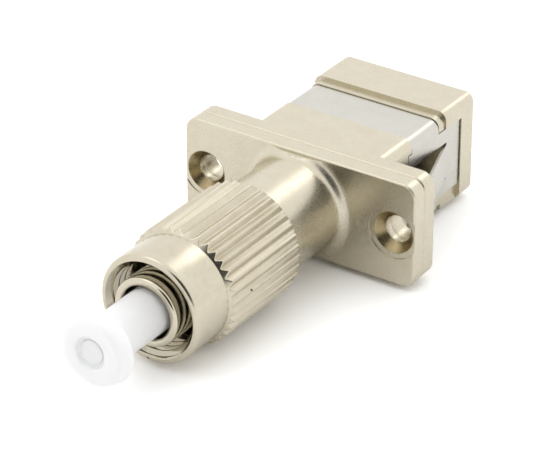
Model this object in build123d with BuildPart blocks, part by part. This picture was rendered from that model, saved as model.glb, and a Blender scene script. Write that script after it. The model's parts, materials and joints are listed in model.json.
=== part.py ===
from build123d import *
from math import pi
import os

# Hybrid fibre adapter: a screw-on round plug at the front and a square push-in socket at the back.
# Millimetres. Y is the optical axis and the plug points to -Y. X runs along the flange, Z is up.
# y = 0 is the rear face of the flange, the face that lies on a panel.

# Fits between pieces
press_gap = 0.01
sliding_gap = 0.05
loose_gap = 0.1
bond_gap = 0.004

# Optical core: two ceramic ferrules with one fibre through both
ferrule_radius = 1.25
ferrule_length = 10.5
ferrule_bevel = 0.3
fibre_radius = 0.0625
plug_ferrule_tip_y = -28.3
socket_ferrule_end_y = 0.0
ferrule_travel = 1.0

# Steel holder that carries both ferrules and takes the spring
holder_tube_radius = 1.65
holder_flange_radius = 2.48
holder_flange_length = 1.2
holder_front_y = -20.5
holder_end_gap = 0.4
holder_relief_radius = 0.6

# Compression spring behind the holder's flange
spring_wire_radius = 0.28
spring_turns = 6
spring_wire_sides = 6
spring_stop_front_y = -11.8
spring_stop_length = 1.2

# Inner barrel of the plug
barrel_radius = 2.92
barrel_tip_y = -23.83
barrel_mouth_radius = 2.25
barrel_bore_radius = 2.55
barrel_lip_round = 0.16
shoulder_radius = 3.5
shoulder_front_y = -17.0
shoulder_rear_y = -15.7
waist_radius = 3.3
spigot_radius = 3.0
spigot_length = 2.4
key_width = 2.0
key_radius = 3.42
key_front_y = -22.6
key_length = 3.0
key_angle = 225

# Snap ring that carries the coupling nut
ring_length = 0.8
ring_outer_radius = 4.12
ring_slot = 1.2

# Coupling nut
nut_front_y = -23.32
nut_rear_y = -9.97
nut_travel = 3.0
collar_radius = 4.58
collar_length = 4.0
rim_round = 0.22
rim_inner_radius = 4.1
thread_crest_radius = 3.6
mouth_chamfer = 0.5
thread_length = 4.1
chamber_radius = 4.15
web_front_y = -16.5
web_radius = 3.65
skirt_radius = 4.3
knurl_rise = 0.47
knurl_depth = 0.35
knurl_teeth = 36
knurl_turn = 2
knurl_tip_land = 0.07
knurl_rear_chamfer = 0.3

# Dust cap
cap_stem_radius = 1.95
cap_stem_end_y = -20.9
cap_head_back_y = -29.0
cap_rim_y = -29.4
cap_face_y = -30.75
cap_rim_radius = 3.2
cap_face_radius = 2.75
cap_face_round = 0.5
cap_ring_outer = 1.36
cap_ring_inner = 1.02
cap_ring_depth = 0.6
cap_dimple_depth = 0.25
cap_tip_space = 0.3

# Flange
hole_spacing = 18.0
hole_margin = 2.0
flange_height = 9.2
plate_thickness = 1.5
flange_corner = 1.2
flange_edge_round = 0.2
hole_radius = 1.15
spotface_radius = 2.3
spotface_depth = 0.08
countersink_radius = 1.8
neck_radius = 4.18
neck_front_y = -10.8
neck_flare = 1.0
flare_land = 0.05
pin_spacing = 11.8
pin_radius = 0.6
pin_depth = 1.2
pin_dimple_radius = 0.32
pin_dimple_depth = 0.2

# Split sleeve and the holders that cage it
sleeve_wall = 0.33
sleeve_length = 11.4
sleeve_slot = 0.5
sleeve_lip_radius = 1.45
sleeve_lip = 0.4
front_holder_radius = 2.2
front_holder_flange_radius = 3.4
front_holder_flange = 1.2
cage_joint_gap = 0.15

# Socket shell
shell_width = 12.5
shell_height = 8.6
shell_corner = 0.9
shell_length = 13.75
end_collar_width = 12.8
end_collar_height = 9.2
end_collar_corner = 0.8
end_collar_front_y = 9.2
end_collar_round = 0.3
cavity_width = 9.06
cavity_height = 7.46
cavity_corner = 0.3
cavity_floor_y = 1.8
mouth_bevel = 0.3
keyway_width = 2.6
keyway_front_y = 6.0
pocket_depth = 0.85
pocket_height = 3.3

# Retaining clip: one piece of spring sheet folded over the shell
clip_sheet = 0.2
clip_seat_gap = 0.02
clip_half_width = 6.25
clip_top_z = 4.18
clip_bend_radius = 0.9
clip_leg_bottom_z = -3.9
band_front_y = 4.2
band_rear_y = 8.3
leg_front_y = 3.7
leg_rear_y = 11.6
leg_half_height = 3.0
wing_half_height = 1.5
wing_root_y = 9.6
wing_knee_y = 4.6
wing_tip_y = 1.9
wing_knee_x = 7.82
wing_tip_x = 7.6

# Latch housing with the two hooks that hold a plug
latch_base_thickness = 1.1
latch_edge_gap = 0.08
latch_tube_radius = 2.35
hook_inner_x = 3.5
hook_outer_x = 4.3
hook_barb_x = 3.0
hook_half_height = 1.6
hook_barb_y = 8.0
hook_tip_y = 9.5


def section(y):
    """Plane across the optical axis at y. Its own x and y are the part's X and Z, and it faces -Y."""
    return Plane.XZ.offset(-y)


def finish(piece, name):
    """Label a finished piece and write it to its own file."""
    piece.part.label = name
    export_step(piece.part, f"parts/{name}.step")


os.makedirs("parts", exist_ok=True)

# Values that follow from the ones above
flange_front_y = -2 * plate_thickness
flange_length = hole_spacing + 2 * hole_margin
plug_ferrule_rear_y = plug_ferrule_tip_y + ferrule_length
socket_ferrule_front_y = socket_ferrule_end_y - ferrule_length
fibre_bore_radius = fibre_radius + bond_gap
spigot_rear_y = neck_front_y + spigot_length
spring_front_y = holder_front_y + holder_flange_length
sleeve_inner_radius = ferrule_radius + sliding_gap / 2
sleeve_outer_radius = sleeve_inner_radius + sleeve_wall
sleeve_cage_radius = sleeve_outer_radius + loose_gap
sleeve_front_y = socket_ferrule_end_y - sleeve_length / 2
cage_front_y = sleeve_front_y - loose_gap - sleeve_lip
cage_rear_y = -cage_front_y
holder_rear_y = cage_front_y - ferrule_travel - holder_end_gap
cage_flange_rear_y = front_holder_flange - plate_thickness
cage_joint_y = cage_flange_rear_y + cage_joint_gap
collar_rear_y = nut_front_y + collar_length
web_rear_y = neck_front_y - nut_travel - loose_gap
knurl_tip_radius = collar_radius + knurl_rise
knurl_root_radius = knurl_tip_radius - knurl_depth
knurl_pitch_angle = 360 / knurl_teeth
ring_front_y = shoulder_rear_y + sliding_gap
ring_rear_y = ring_front_y + ring_length
clip_seat_half_width = clip_half_width - clip_sheet - clip_seat_gap
clip_seat_z = clip_top_z - clip_sheet - clip_seat_gap
leg_x = clip_half_width - clip_sheet / 2

# Ceramic ferrule of the plug
with BuildPart() as front_ferrule:
    with BuildSketch(Plane.XY):
        with BuildLine():
            Polyline(
                (fibre_bore_radius, plug_ferrule_tip_y),
                (ferrule_radius - ferrule_bevel, plug_ferrule_tip_y),
                (ferrule_radius, plug_ferrule_tip_y + 2 * ferrule_bevel),
                (ferrule_radius, plug_ferrule_rear_y),
                (fibre_bore_radius, plug_ferrule_rear_y),
                close=True,
            )
        make_face()
    revolve(axis=Axis.Y)
finish(front_ferrule, "front_ferrule")

# Ceramic ferrule that meets a plug inside the socket
with BuildPart() as rear_ferrule:
    with BuildSketch(Plane.XY):
        with BuildLine():
            Polyline(
                (fibre_bore_radius, socket_ferrule_end_y),
                (ferrule_radius - ferrule_bevel, socket_ferrule_end_y),
                (ferrule_radius, socket_ferrule_end_y - 2 * ferrule_bevel),
                (ferrule_radius, socket_ferrule_front_y),
                (fibre_bore_radius, socket_ferrule_front_y),
                close=True,
            )
        make_face()
    revolve(axis=Axis.Y)
finish(rear_ferrule, "rear_ferrule")

# Glass fibre bonded from one ferrule end to the other
with BuildPart() as fibre_stub:
    with BuildSketch(section(plug_ferrule_tip_y)):
        Circle(fibre_radius)
    extrude(amount=plug_ferrule_tip_y - socket_ferrule_end_y)
finish(fibre_stub, "fibre_stub")

# Steel holder: a flanged tube with a ferrule pressed in each end
with BuildPart() as ferrule_holder:
    seat_radius = ferrule_radius + press_gap
    with BuildSketch(Plane.XY):
        with BuildLine():
            Polyline(
                (seat_radius, holder_front_y),
                (holder_flange_radius, holder_front_y),
                (holder_flange_radius, spring_front_y),
                (holder_tube_radius, spring_front_y),
                (holder_tube_radius, holder_rear_y),
                (seat_radius, holder_rear_y),
                (seat_radius, socket_ferrule_front_y),
                (holder_relief_radius, socket_ferrule_front_y),
                (holder_relief_radius, plug_ferrule_rear_y),
                (seat_radius, plug_ferrule_rear_y),
                close=True,
            )
        make_face()
    revolve(axis=Axis.Y)
finish(ferrule_holder, "ferrule_holder")

# Coil spring between the holder's flange and the spring stop
with BuildPart() as ferrule_spring:
    spring_inner_radius = holder_tube_radius + loose_gap
    spring_mean_radius = spring_inner_radius + spring_wire_radius
    coil_front_y = spring_front_y + spring_wire_radius + press_gap
    coil_length = spring_stop_front_y - spring_front_y - 2 * (spring_wire_radius + press_gap)
    with BuildLine() as coil:
        Helix(
            pitch=coil_length / spring_turns,
            height=coil_length,
            radius=spring_mean_radius,
            center=(0, coil_front_y, 0),
            direction=(0, 1, 0),
        )
    with BuildSketch(Plane(origin=coil.line @ 0, z_dir=coil.line % 0)):
        RegularPolygon(radius=spring_wire_radius, side_count=spring_wire_sides)
    sweep(is_frenet=True)
finish(ferrule_spring, "ferrule_spring")

# Ring pressed into the barrel behind the spring
with BuildPart() as spring_stop:
    with BuildSketch(section(spring_stop_front_y)):
        Circle(barrel_bore_radius - press_gap)
        Circle(holder_tube_radius + sliding_gap, mode=Mode.SUBTRACT)
    extrude(amount=-spring_stop_length)
finish(spring_stop, "spring_stop")

# Inner barrel of the plug, with its shoulder, waist, press spigot and orientation key
with BuildPart() as plug_barrel:
    with BuildSketch(Plane.XY):
        with BuildLine():
            Polyline(
                (barrel_mouth_radius, barrel_tip_y),
                (barrel_radius, barrel_tip_y),
                (barrel_radius, shoulder_front_y),
                (shoulder_radius, shoulder_front_y),
                (shoulder_radius, shoulder_rear_y),
                (waist_radius, shoulder_rear_y),
                (waist_radius, neck_front_y),
                (spigot_radius, neck_front_y),
                (spigot_radius, spigot_rear_y),
                (barrel_bore_radius, spigot_rear_y),
                (barrel_bore_radius, holder_front_y),
                (barrel_mouth_radius, holder_front_y),
                close=True,
            )
        make_face()
    revolve(axis=Axis.Y)
    fillet(plug_barrel.edges().filter_by(GeomType.CIRCLE).group_by(Axis.Y)[0], barrel_lip_round)
    with BuildSketch(section(key_front_y)):
        key_root_radius = (barrel_mouth_radius + barrel_radius) / 2
        with PolarLocations(key_root_radius, 1, key_angle):
            Rectangle(key_radius - key_root_radius, key_width, align=(Align.MIN, Align.CENTER))
    extrude(amount=-key_length)
finish(plug_barrel, "plug_barrel")

# Open snap ring: it runs in the nut's groove and bears on the barrel's shoulder
with BuildPart() as nut_ring:
    with BuildSketch(section(ring_front_y)):
        Circle(ring_outer_radius)
        Circle(waist_radius + sliding_gap, mode=Mode.SUBTRACT)
        with Locations((0, -ring_outer_radius)):
            Rectangle(ring_slot, 2 * (ring_outer_radius - waist_radius), mode=Mode.SUBTRACT)
    extrude(amount=-ring_length)
finish(nut_ring, "nut_ring")

# Coupling nut: smooth collar, straight knurl, thread bore, chamber, ring groove and rear skirt
with BuildPart() as coupling_nut:
    groove_radius = ring_outer_radius + sliding_gap
    thread_end_y = nut_front_y + thread_length
    knurl_front_y = collar_rear_y + knurl_tip_radius - collar_radius
    with BuildSketch(Plane.XY):
        with BuildLine():
            Polyline(
                (rim_inner_radius, nut_front_y),
                (collar_radius, nut_front_y),
                (collar_radius, collar_rear_y),
                (knurl_tip_radius, knurl_front_y),
                (knurl_tip_radius, nut_rear_y - knurl_rear_chamfer),
                (knurl_tip_radius - knurl_rear_chamfer, nut_rear_y),
                (skirt_radius, nut_rear_y),
                (skirt_radius, web_rear_y),
                (web_radius, web_rear_y),
                (web_radius, ring_rear_y + sliding_gap),
                (groove_radius, ring_rear_y + sliding_gap),
                (groove_radius, ring_front_y - sliding_gap),
                (web_radius, ring_front_y - sliding_gap),
                (web_radius, web_front_y),
                (chamber_radius, web_front_y),
                (chamber_radius, thread_end_y),
                (thread_crest_radius, thread_end_y),
                (thread_crest_radius, nut_front_y + mouth_chamfer),
                close=True,
            )
        make_face()
    revolve(axis=Axis.Y)
    rim = coupling_nut.edges().filter_by(GeomType.CIRCLE).group_by(Axis.Y)[0].sort_by(SortBy.RADIUS)[-1]
    fillet(rim, rim_round)
    groove_half_width = pi * knurl_tip_radius / knurl_teeth - knurl_tip_land / 2
    with BuildSketch(section(collar_rear_y)):
        with PolarLocations(0, knurl_teeth, knurl_turn + knurl_pitch_angle / 2):
            Polygon(
                (knurl_root_radius, 0),
                (2 * knurl_tip_radius - knurl_root_radius, 2 * groove_half_width),
                (2 * knurl_tip_radius - knurl_root_radius, -2 * groove_half_width),
                align=None,
            )
    extrude(amount=collar_rear_y - nut_rear_y, mode=Mode.SUBTRACT)
finish(coupling_nut, "coupling_nut")

# Soft plastic dust cap over the plug's ferrule
with BuildPart() as dust_cap:
    cap_bore_radius = ferrule_radius + sliding_gap
    cap_bore_end_y = plug_ferrule_tip_y - cap_tip_space
    with BuildSketch(Plane.XY):
        with BuildLine():
            Polyline(
                (0, cap_bore_end_y),
                (cap_bore_radius, cap_bore_end_y),
                (cap_bore_radius, cap_stem_end_y),
                (cap_stem_radius, cap_stem_end_y),
                (cap_stem_radius, cap_head_back_y),
                (cap_rim_radius, cap_rim_y),
                (cap_face_radius, cap_face_y),
                (cap_ring_outer, cap_face_y),
                (cap_ring_outer, cap_face_y + cap_ring_depth),
                (cap_ring_inner, cap_face_y + cap_ring_depth),
                (cap_ring_inner, cap_face_y + cap_dimple_depth),
                (0, cap_face_y + cap_dimple_depth),
                close=True,
            )
        make_face()
    revolve(axis=Axis.Y)
    cap_circles = dust_cap.edges().filter_by(GeomType.CIRCLE)
    fillet(cap_circles.group_by(Axis.Y)[0].sort_by(SortBy.RADIUS)[-1], cap_face_round)
finish(dust_cap, "dust_cap")

# Front body: the front plate of the flange with the round neck that takes the barrel
with BuildPart() as front_body:
    neck_bore_radius = spigot_radius + press_gap
    holder_way_radius = holder_tube_radius + 2 * loose_gap
    front_cage_seat = front_holder_radius + press_gap
    flare_top_z = flange_height / 2 - flange_edge_round - flare_land
    with BuildSketch(Plane.XY):
        with BuildLine():
            Line((0, flange_front_y), (0, neck_front_y))
            Line((0, neck_front_y), (neck_radius, neck_front_y))
            Line((neck_radius, neck_front_y), (neck_radius, flange_front_y - neck_flare))
            RadiusArc(
                (neck_radius, flange_front_y - neck_flare),
                (neck_radius + neck_flare, flange_front_y),
                neck_flare,
            )
            Line((neck_radius + neck_flare, flange_front_y), (0, flange_front_y))
        make_face()
    revolve(axis=Axis.Y)
    split(bisect_by=Plane.XY.offset(flare_top_z), keep=Keep.BOTTOM)
    split(bisect_by=Plane.XY.offset(-flare_top_z), keep=Keep.TOP)
    with BuildSketch(section(flange_front_y)):
        RectangleRounded(flange_length, flange_height, flange_corner)
    extrude(amount=-plate_thickness)
    plate_faces = front_body.faces().filter_by(Axis.Y).sort_by(Axis.Y)[1:]
    fillet([edge for face in plate_faces for edge in face.outer_wire().edges()], flange_edge_round)
    with BuildSketch(section(neck_front_y)):
        Circle(neck_bore_radius)
    extrude(amount=-spigot_length - press_gap, mode=Mode.SUBTRACT)
    with BuildSketch(section(neck_front_y)):
        Circle(holder_way_radius)
    extrude(amount=neck_front_y + plate_thickness, mode=Mode.SUBTRACT)
    with BuildSketch(section(cage_front_y - press_gap)):
        Circle(front_cage_seat)
    extrude(amount=cage_front_y - press_gap + plate_thickness, mode=Mode.SUBTRACT)
    with BuildSketch(section(flange_front_y)):
        with GridLocations(hole_spacing, 0, 2, 1):
            Circle(spotface_radius)
    extrude(amount=-spotface_depth, mode=Mode.SUBTRACT)
    with Locations(section(flange_front_y + spotface_depth)):
        with GridLocations(hole_spacing, 0, 2, 1):
            CounterSinkHole(hole_radius, countersink_radius, plate_thickness)
    with BuildSketch(section(flange_front_y)):
        with GridLocations(pin_spacing, 0, 2, 1):
            Circle(pin_radius + press_gap)
    extrude(amount=-plate_thickness, mode=Mode.SUBTRACT)
finish(front_body, "front_body")

# Rear body: the rear plate of the flange in one piece with the socket shell
with BuildPart() as rear_body:
    with BuildSketch(section(-plate_thickness)):
        RectangleRounded(flange_length, flange_height, flange_corner)
    extrude(amount=-plate_thickness)
    fillet(rear_body.faces().filter_by(Axis.Y).edges(), flange_edge_round)
    with BuildSketch(section(0)):
        RectangleRounded(shell_width, shell_height, shell_corner)
    extrude(amount=-shell_length)
    with BuildSketch(section(end_collar_front_y)):
        RectangleRounded(end_collar_width, end_collar_height, end_collar_corner)
    extrude(amount=end_collar_front_y - shell_length)
    fillet(rear_body.faces().sort_by(Axis.Y)[-1].outer_wire().edges(), end_collar_round)
    with BuildSketch(section(cavity_floor_y)):
        RectangleRounded(cavity_width, cavity_height, cavity_corner)
    extrude(amount=cavity_floor_y - shell_length, mode=Mode.SUBTRACT)
    chamfer(rear_body.faces().sort_by(Axis.Y)[-1].inner_wires()[0].edges(), mouth_bevel)
    with BuildSketch(section(-plate_thickness)):
        Circle(latch_tube_radius + press_gap)
    extrude(amount=-plate_thickness - cavity_floor_y, mode=Mode.SUBTRACT)
    with BuildSketch(section(-plate_thickness)):
        Circle(front_holder_flange_radius + press_gap)
    extrude(amount=-front_holder_flange - press_gap, mode=Mode.SUBTRACT)
    with BuildSketch(section(band_front_y - sliding_gap)):
        Rectangle(2 * end_collar_width, 2 * end_collar_height)
        with Locations((0, clip_seat_z)):
            RectangleRounded(
                2 * clip_seat_half_width,
                2 * end_collar_height,
                clip_bend_radius - clip_sheet,
                align=(Align.CENTER, Align.MAX),
                mode=Mode.SUBTRACT,
            )
    extrude(amount=band_front_y - band_rear_y - 2 * sliding_gap, mode=Mode.SUBTRACT)
    leg_room_y = (leg_front_y + leg_rear_y) / 2
    leg_room_length = leg_rear_y - leg_front_y + 2 * loose_gap
    leg_room_top_z = leg_half_height + loose_gap
    for side in (-1, 1):
        with Locations((side * clip_seat_half_width, leg_room_y, leg_room_top_z)):
            Box(
                end_collar_width / 2,
                leg_room_length,
                leg_room_top_z + end_collar_height,
                align=(Align.MIN if side > 0 else Align.MAX, Align.CENTER, Align.MAX),
                mode=Mode.SUBTRACT,
            )
        with Locations((side * clip_seat_half_width, (wing_knee_y + wing_root_y) / 2, 0)):
            Box(2 * pocket_depth, wing_root_y - wing_knee_y, pocket_height, mode=Mode.SUBTRACT)
    with Locations((0, (keyway_front_y + shell_length) / 2, -(cavity_height + end_collar_height) / 4)):
        Box(keyway_width, shell_length - keyway_front_y, cavity_height / 4, mode=Mode.SUBTRACT)
    with BuildSketch(section(-plate_thickness)):
        with GridLocations(hole_spacing, 0, 2, 1):
            Circle(hole_radius)
    extrude(amount=-plate_thickness, mode=Mode.SUBTRACT)
    with BuildSketch(section(-plate_thickness)):
        with GridLocations(pin_spacing, 0, 2, 1):
            Circle(pin_radius + press_gap)
    extrude(amount=-pin_depth - press_gap, mode=Mode.SUBTRACT)
finish(rear_body, "rear_body")

# Two drive pins that hold the halves of the flange together
for side, name in ((-1, "joining_pin_left"), (1, "joining_pin_right")):
    with BuildPart() as joining_pin:
        with BuildSketch(section(flange_front_y)):
            with Locations((side * pin_spacing / 2, 0)):
                Circle(pin_radius)
        extrude(amount=-plate_thickness - pin_depth)
        with Locations(section(flange_front_y)):
            with Locations((side * pin_spacing / 2, 0)):
                Cone(
                    pin_dimple_radius / 4,
                    pin_dimple_radius,
                    pin_dimple_depth,
                    align=(Align.CENTER, Align.CENTER, Align.MAX),
                    mode=Mode.SUBTRACT,
                )
    finish(joining_pin, name)

# Split sleeve that lines up the two ferrules that meet in the socket
with BuildPart() as split_sleeve:
    with BuildSketch(section(sleeve_front_y)):
        Circle(sleeve_outer_radius)
        Circle(sleeve_inner_radius, mode=Mode.SUBTRACT)
        with Locations((0, sleeve_outer_radius)):
            Rectangle(sleeve_slot, 2 * sleeve_wall + ferrule_radius, mode=Mode.SUBTRACT)
    extrude(amount=-sleeve_length)
finish(split_sleeve, "split_sleeve")

# Front half of the sleeve's cage, held in the neck and clamped by the rear body
with BuildPart() as front_sleeve_holder:
    with BuildSketch(Plane.XY):
        with BuildLine():
            Polyline(
                (sleeve_lip_radius, cage_front_y),
                (front_holder_radius, cage_front_y),
                (front_holder_radius, -plate_thickness),
                (front_holder_flange_radius, -plate_thickness),
                (front_holder_flange_radius, cage_flange_rear_y),
                (sleeve_cage_radius, cage_flange_rear_y),
                (sleeve_cage_radius, cage_front_y + sleeve_lip),
                (sleeve_lip_radius, cage_front_y + sleeve_lip),
                close=True,
            )
        make_face()
    revolve(axis=Axis.Y)
finish(front_sleeve_holder, "front_sleeve_holder")

# Latch housing: base plate, rear half of the sleeve's cage and two hooks, moulded in one
with BuildPart() as latch_housing:
    latch_base_rear_y = cavity_floor_y + latch_base_thickness
    with BuildSketch(section(cavity_floor_y)):
        RectangleRounded(
            cavity_width - 2 * latch_edge_gap, cavity_height - 2 * latch_edge_gap, cavity_corner
        )
    extrude(amount=-latch_base_thickness)
    with BuildSketch(section(cage_joint_y)):
        Circle(latch_tube_radius)
    extrude(amount=cage_joint_y - cage_rear_y)
    with BuildSketch(section(cage_joint_y)):
        Circle(sleeve_cage_radius)
    extrude(amount=cage_joint_y - cage_rear_y + sleeve_lip, mode=Mode.SUBTRACT)
    with BuildSketch(section(cage_joint_y)):
        Circle(sleeve_lip_radius)
    extrude(amount=cage_joint_y - cage_rear_y, mode=Mode.SUBTRACT)
    with BuildSketch(Plane.XY):
        with BuildLine():
            Polyline(
                (hook_inner_x, latch_base_rear_y - latch_base_thickness / 2),
                (hook_outer_x, latch_base_rear_y - latch_base_thickness / 2),
                (hook_outer_x, hook_tip_y),
                (hook_inner_x, hook_tip_y),
                (hook_barb_x, (hook_barb_y + hook_tip_y) / 2),
                (hook_barb_x, hook_barb_y),
                (hook_inner_x, hook_barb_y),
                close=True,
            )
        make_face()
    extrude(amount=hook_half_height, both=True)
    mirror(about=Plane.YZ)
finish(latch_housing, "latch_housing")

# Retaining clip: top band, two legs and two wings that spring out behind a panel
with BuildPart() as retaining_clip:
    with BuildSketch(section(band_front_y)):
        with Locations((0, clip_top_z)):
            RectangleRounded(
                2 * clip_half_width,
                4 * clip_top_z,
                clip_bend_radius,
                align=(Align.CENTER, Align.MAX),
            )
        with Locations((0, clip_top_z - clip_sheet)):
            RectangleRounded(
                2 * (clip_half_width - clip_sheet),
                4 * clip_top_z,
                clip_bend_radius - clip_sheet,
                align=(Align.CENTER, Align.MAX),
                mode=Mode.SUBTRACT,
            )
        with Locations((0, clip_leg_bottom_z)):
            Rectangle(
                4 * clip_half_width,
                4 * clip_top_z,
                align=(Align.CENTER, Align.MAX),
                mode=Mode.SUBTRACT,
            )
    extrude(amount=band_front_y - band_rear_y)
    for side in (-1, 1):
        with Locations((side * leg_x, (leg_front_y + leg_rear_y) / 2, 0)):
            Box(clip_sheet, leg_rear_y - leg_front_y, 2 * leg_half_height)
        with Locations((side * leg_x, wing_root_y, 0)):
            Box(
                4 * clip_sheet,
                wing_root_y,
                2 * wing_half_height + 2 * clip_sheet,
                align=(Align.CENTER, Align.MAX, Align.CENTER),
                mode=Mode.SUBTRACT,
            )
    with BuildSketch(Plane.XY):
        with BuildLine() as wing_path:
            Polyline(
                (leg_x, wing_root_y + clip_sheet),
                (leg_x, wing_root_y),
                (wing_knee_x, wing_knee_y),
                (wing_tip_x, wing_tip_y),
            )
            offset(amount=clip_sheet / 2, kind=Kind.TANGENT)
        make_face()
    extrude(amount=wing_half_height, both=True)
    mirror(about=Plane.YZ)
finish(retaining_clip, "retaining_clip")
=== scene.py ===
"""Looks of a hybrid fibre adapter: nickel-plated metal, a spring clip and a milky dust cap on a white table.

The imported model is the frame, in metres: +Y runs along the optical axis out of the square socket, the
round plug points to -Y and +Z is up. Sizes in the classes are millimetres.
"""
import json
import logging
import math
from dataclasses import dataclass
from enum import Enum
from typing import Any, Optional, Protocol, Sequence

import bmesh
import bpy
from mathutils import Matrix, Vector

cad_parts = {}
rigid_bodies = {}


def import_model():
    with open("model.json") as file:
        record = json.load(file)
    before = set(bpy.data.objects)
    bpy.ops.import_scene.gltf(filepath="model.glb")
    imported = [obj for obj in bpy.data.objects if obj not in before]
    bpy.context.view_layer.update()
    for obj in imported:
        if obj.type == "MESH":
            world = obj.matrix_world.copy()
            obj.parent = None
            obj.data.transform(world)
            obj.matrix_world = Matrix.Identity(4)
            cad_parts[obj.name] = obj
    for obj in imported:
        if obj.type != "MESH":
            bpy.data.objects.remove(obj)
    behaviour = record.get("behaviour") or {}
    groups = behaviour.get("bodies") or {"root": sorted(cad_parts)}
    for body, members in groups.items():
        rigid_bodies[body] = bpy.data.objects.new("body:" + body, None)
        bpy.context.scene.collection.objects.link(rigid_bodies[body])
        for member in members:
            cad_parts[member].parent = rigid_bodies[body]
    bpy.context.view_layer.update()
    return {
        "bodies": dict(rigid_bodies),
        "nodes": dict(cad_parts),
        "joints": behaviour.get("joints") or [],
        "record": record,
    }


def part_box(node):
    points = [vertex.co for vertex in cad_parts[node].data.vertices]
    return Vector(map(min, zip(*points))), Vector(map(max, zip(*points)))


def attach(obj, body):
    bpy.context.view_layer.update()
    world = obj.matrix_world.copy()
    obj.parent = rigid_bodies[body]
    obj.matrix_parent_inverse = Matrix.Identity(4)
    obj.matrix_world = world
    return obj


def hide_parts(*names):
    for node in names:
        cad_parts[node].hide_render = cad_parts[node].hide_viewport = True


MM = 0.001
TEETH = 36
TEETH_TURN = 2.0
SEGMENTS_PER_TOOTH = 12
LATHE_SEGMENTS = TEETH * SEGMENTS_PER_TOOTH
SMOOTH_ANGLE = math.radians(32)
MERGE_MM = 0.0005
ON_AXIS_MM = 1e-6
ACROSS_AXIS = (1.0, 0.0, 1.0)

log = logging.getLogger("adapter")

Point = tuple[float, float]
Input = Any


class Slot(Enum):
    """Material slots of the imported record."""

    NUT = "nickel_nut"
    BODY = "nickel_body"
    BARREL = "nickel_barrel"
    SPRING = "spring_steel"
    STEEL = "steel"
    CLIP = "clip_steel"
    CERAMIC = "ceramic"
    FIBRE = "glass_fibre"
    PLASTIC = "dark_plastic"
    CAP = "cap_plastic"


class Grain(Enum):
    """How the lines of a surface's texture run."""

    RINGS = "rings"
    EVEN = "even"
    ROLLED = "rolled"


def linear(colour: str) -> tuple[float, float, float, float]:
    """Turn an sRGB hex colour into the linear RGBA that Blender's sockets take.

    Args:
        colour: a colour such as "#DDD5BF".

    Returns:
        Linear red, green, blue and an alpha of 1.
    """
    parts = [int(colour[i:i + 2], 16) / 255 for i in (1, 3, 5)]
    values = [p / 12.92 if p <= 0.04045 else ((p + 0.055) / 1.055) ** 2.4 for p in parts]
    return values[0], values[1], values[2], 1.0


def add_node(
    tree: bpy.types.NodeTree, kind: str, inputs: Optional[dict[Any, Input]] = None, **settings: Any,
) -> bpy.types.Node:
    """Add one node with its settings, socket values and links.

    Args:
        tree: the node tree that gets the node.
        kind: the node's type, such as "ShaderNodeTexNoise".
        inputs: socket name or number to a value, or to the output socket that feeds it.
        settings: the node's own properties.

    Returns:
        The new node.
    """
    node = tree.nodes.new(kind)
    for name, value in settings.items():
        setattr(node, name, value)
    for name, value in (inputs or {}).items():
        if isinstance(value, bpy.types.NodeSocket):
            tree.links.new(value, node.inputs[name])
        else:
            node.inputs[name].default_value = value
    return node


def new_material(name: str) -> tuple[bpy.types.Material, bpy.types.NodeTree]:
    """Make an empty node material.

    Args:
        name: the finish's name.

    Returns:
        The material and its empty tree.
    """
    material = bpy.data.materials.new(name)
    material.use_nodes = True
    material.node_tree.nodes.clear()
    return material, material.node_tree


class Surface:
    """A metal surface while its nodes are laid: its points' place, and its colour and roughness so far."""

    def __init__(self, tree: bpy.types.NodeTree, colour: Input, roughness: Input) -> None:
        """Start with one colour and roughness all over.

        Args:
            tree: the material's node tree.
            colour: linear RGBA.
            roughness: the shader's roughness.
        """
        self.tree = tree
        self.place = add_node(tree, "ShaderNodeTexCoord").outputs["Object"]
        self.axes = add_node(tree, "ShaderNodeSeparateXYZ", {0: self.place}).outputs
        self.colour = colour
        self.roughness = roughness

    def from_axis(self) -> bpy.types.NodeSocket:
        """Return each point's distance from the optical axis."""
        flat = add_node(
            self.tree, "ShaderNodeVectorMath", {0: self.place, 1: ACROSS_AXIS}, operation="MULTIPLY",
        ).outputs[0]
        return add_node(self.tree, "ShaderNodeVectorMath", {0: flat}, operation="LENGTH").outputs["Value"]

    def recolour(self, share: Input, colour: Input) -> None:
        """Turn the colour into another one where share is 1."""
        self.colour = add_node(self.tree, "ShaderNodeMix", {
            "Factor": share, 6: self.colour, 7: colour,
        }, data_type="RGBA").outputs[2]

    def roughen(self, share: Input, roughness: Input) -> None:
        """Turn the roughness into another one where share is 1."""
        self.roughness = add_node(self.tree, "ShaderNodeMapRange", {
            "Value": share, "To Min": self.roughness, "To Max": roughness,
        }).outputs[0]


class Trace(Protocol):
    """Something that shows in one region of a surface only."""

    def lay(self, surface: Surface) -> None:
        """Change the surface's colour or roughness in that region."""


@dataclass(frozen=True)
class PressedKnurl:
    """The knurled stretch of a nut behind a 45 degree cone, duller than the turned metal in front of it."""

    cone_tip_y_mm: float
    from_radius_mm: float
    roughness: float

    def lay(self, surface: Surface) -> None:
        """Dull the knurl.

        Args:
            surface: the nut's surface.
        """
        tree, radius = surface.tree, surface.from_axis()
        back = add_node(
            tree, "ShaderNodeMath", {0: surface.axes["Y"], 1: radius}, operation="SUBTRACT",
        ).outputs[0]
        behind = add_node(
            tree, "ShaderNodeMath", {0: back, 1: self.cone_tip_y_mm * MM}, operation="GREATER_THAN",
        ).outputs[0]
        outside = add_node(
            tree, "ShaderNodeMath", {0: radius, 1: self.from_radius_mm * MM}, operation="GREATER_THAN",
        ).outputs[0]
        both = add_node(tree, "ShaderNodeMath", {0: behind, 1: outside}, operation="MULTIPLY").outputs[0]
        surface.roughen(both, self.roughness)


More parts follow.
